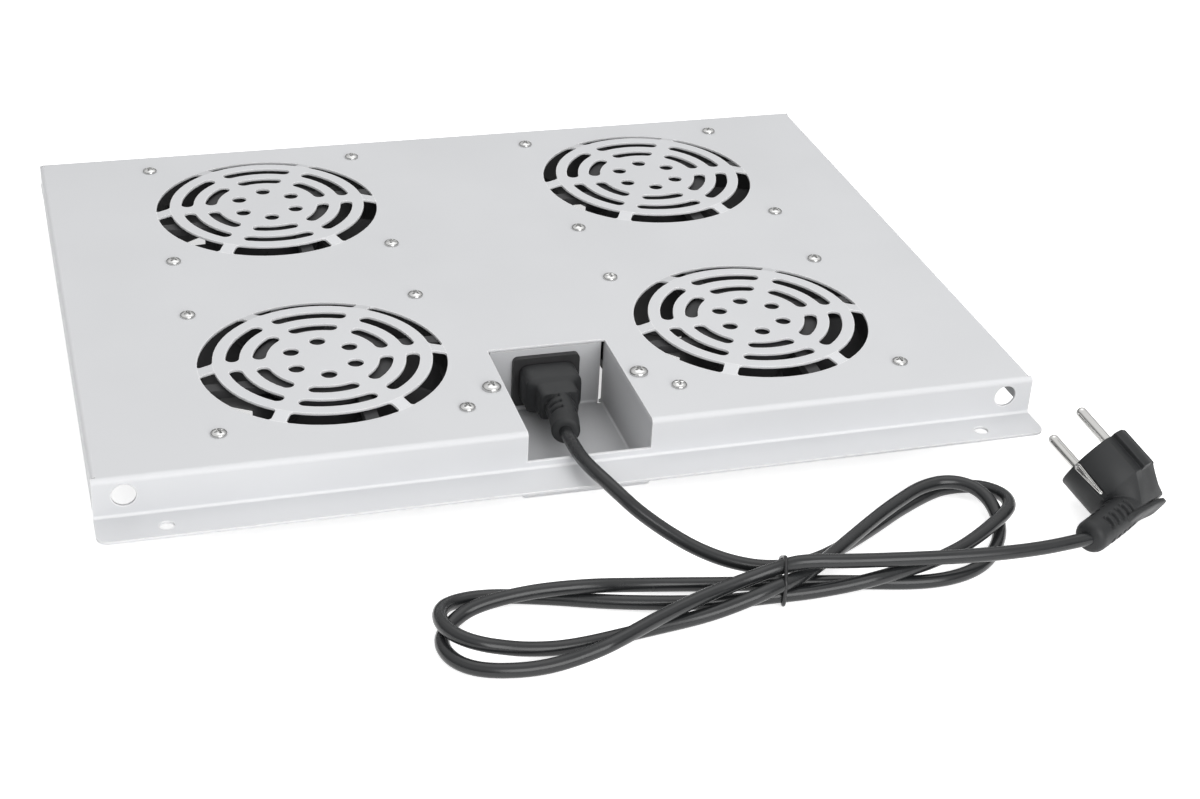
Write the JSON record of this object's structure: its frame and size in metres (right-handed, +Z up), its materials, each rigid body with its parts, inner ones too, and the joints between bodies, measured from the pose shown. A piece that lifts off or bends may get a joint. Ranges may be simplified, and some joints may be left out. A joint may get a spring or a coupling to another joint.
{
  "type": "rack fan tray",
  "caption": "Light grey folded-steel rack fan tray with slotted embossed grilles over axial fans, a recessed mains inlet and a plugged-in black lead tied in a hank.",
  "frame": {"origin": "middle of the tray, on the surface that the fan frames stand on", "axes": "+Z up through the grilles, +X along the width, -Y towards the front flange with the mains recess"},
  "size_m": [0.4518, 0.441, 0.0464],
  "materials": {
    "tray_paint": "fine-textured light grey powder coat",
    "zinc_screws": "bright zinc plate",
    "inlet_plastic": "moulded black",
    "nickel_contacts": "nickel plate",
    "cord_moulding": "matte black soft plastic",
    "cord_sheath": "satin black sheath",
    "tie_plastic": "black coated wire tie",
    "fan_frame_plastic": "black painted casting",
    "impeller_plastic": "moulded black",
    "rotor_steel": "dark pressed steel",
    "shaft_steel": "ground steel",
    "bearing_bronze": "sintered bronze",
    "motor_iron": "stacked iron with windings"
  },
  "bodies": {
    "tray": {"tray_panel": "tray_paint", "socket_bracket": "tray_paint", "bracket_screws": "zinc_screws", "bracket_nuts": "zinc_screws", "fan_screws": "zinc_screws", "fan_nuts": "zinc_screws", "inlet_socket": "inlet_plastic", "inlet_pins": "nickel_contacts", "cord_connector": "cord_moulding", "cord_lead": "cord_sheath", "cord_hank": "cord_sheath", "cord_tail": "cord_sheath", "cord_tie": "tie_plastic", "plug_body": "cord_moulding", "plug_pins": "nickel_contacts", "plug_earth_clips": "nickel_contacts", "fan_frame_back_left": "fan_frame_plastic", "fan_bearings_back_left": "bearing_bronze", "fan_stator_back_left": "motor_iron", "fan_terminals_back_left": "nickel_contacts", "fan_frame_back_right": "fan_frame_plastic", "fan_bearings_back_right": "bearing_bronze", "fan_stator_back_right": "motor_iron", "fan_terminals_back_right": "nickel_contacts", "fan_frame_front_left": "fan_frame_plastic", "fan_bearings_front_left": "bearing_bronze", "fan_stator_front_left": "motor_iron", "fan_terminals_front_left": "nickel_contacts", "fan_frame_front_right": "fan_frame_plastic", "fan_bearings_front_right": "bearing_bronze", "fan_stator_front_right": "motor_iron", "fan_terminals_front_right": "nickel_contacts"},
    "rotor_back_left": {"impeller_back_left": "impeller_plastic", "rotor_cup_back_left": "rotor_steel", "fan_shaft_back_left": "shaft_steel"},
    "rotor_back_right": {"impeller_back_right": "impeller_plastic", "rotor_cup_back_right": "rotor_steel", "fan_shaft_back_right": "shaft_steel"},
    "rotor_front_left": {"impeller_front_left": "impeller_plastic", "rotor_cup_front_left": "rotor_steel", "fan_shaft_front_left": "shaft_steel"},
    "rotor_front_right": {"impeller_front_right": "impeller_plastic", "rotor_cup_front_right": "rotor_steel", "fan_shaft_front_right": "shaft_steel"}
  },
  "joints": [
    {"name": "spin_back_left", "type": "hinge", "parent": "tray", "child": "rotor_back_left", "pos_m": [-0.1, 0.083, 0.0175], "axis": [0, 0, 1], "continuous": true},
    {"name": "spin_back_right", "type": "hinge", "parent": "tray", "child": "rotor_back_right", "pos_m": [0.1, 0.083, 0.0175], "axis": [0, 0, 1], "continuous": true},
    {"name": "spin_front_left", "type": "hinge", "parent": "tray", "child": "rotor_front_left", "pos_m": [-0.1, -0.077, 0.0175], "axis": [0, 0, 1], "continuous": true},
    {"name": "spin_front_right", "type": "hinge", "parent": "tray", "child": "rotor_front_right", "pos_m": [0.1, -0.077, 0.0175], "axis": [0, 0, 1], "continuous": true}
  ]
}
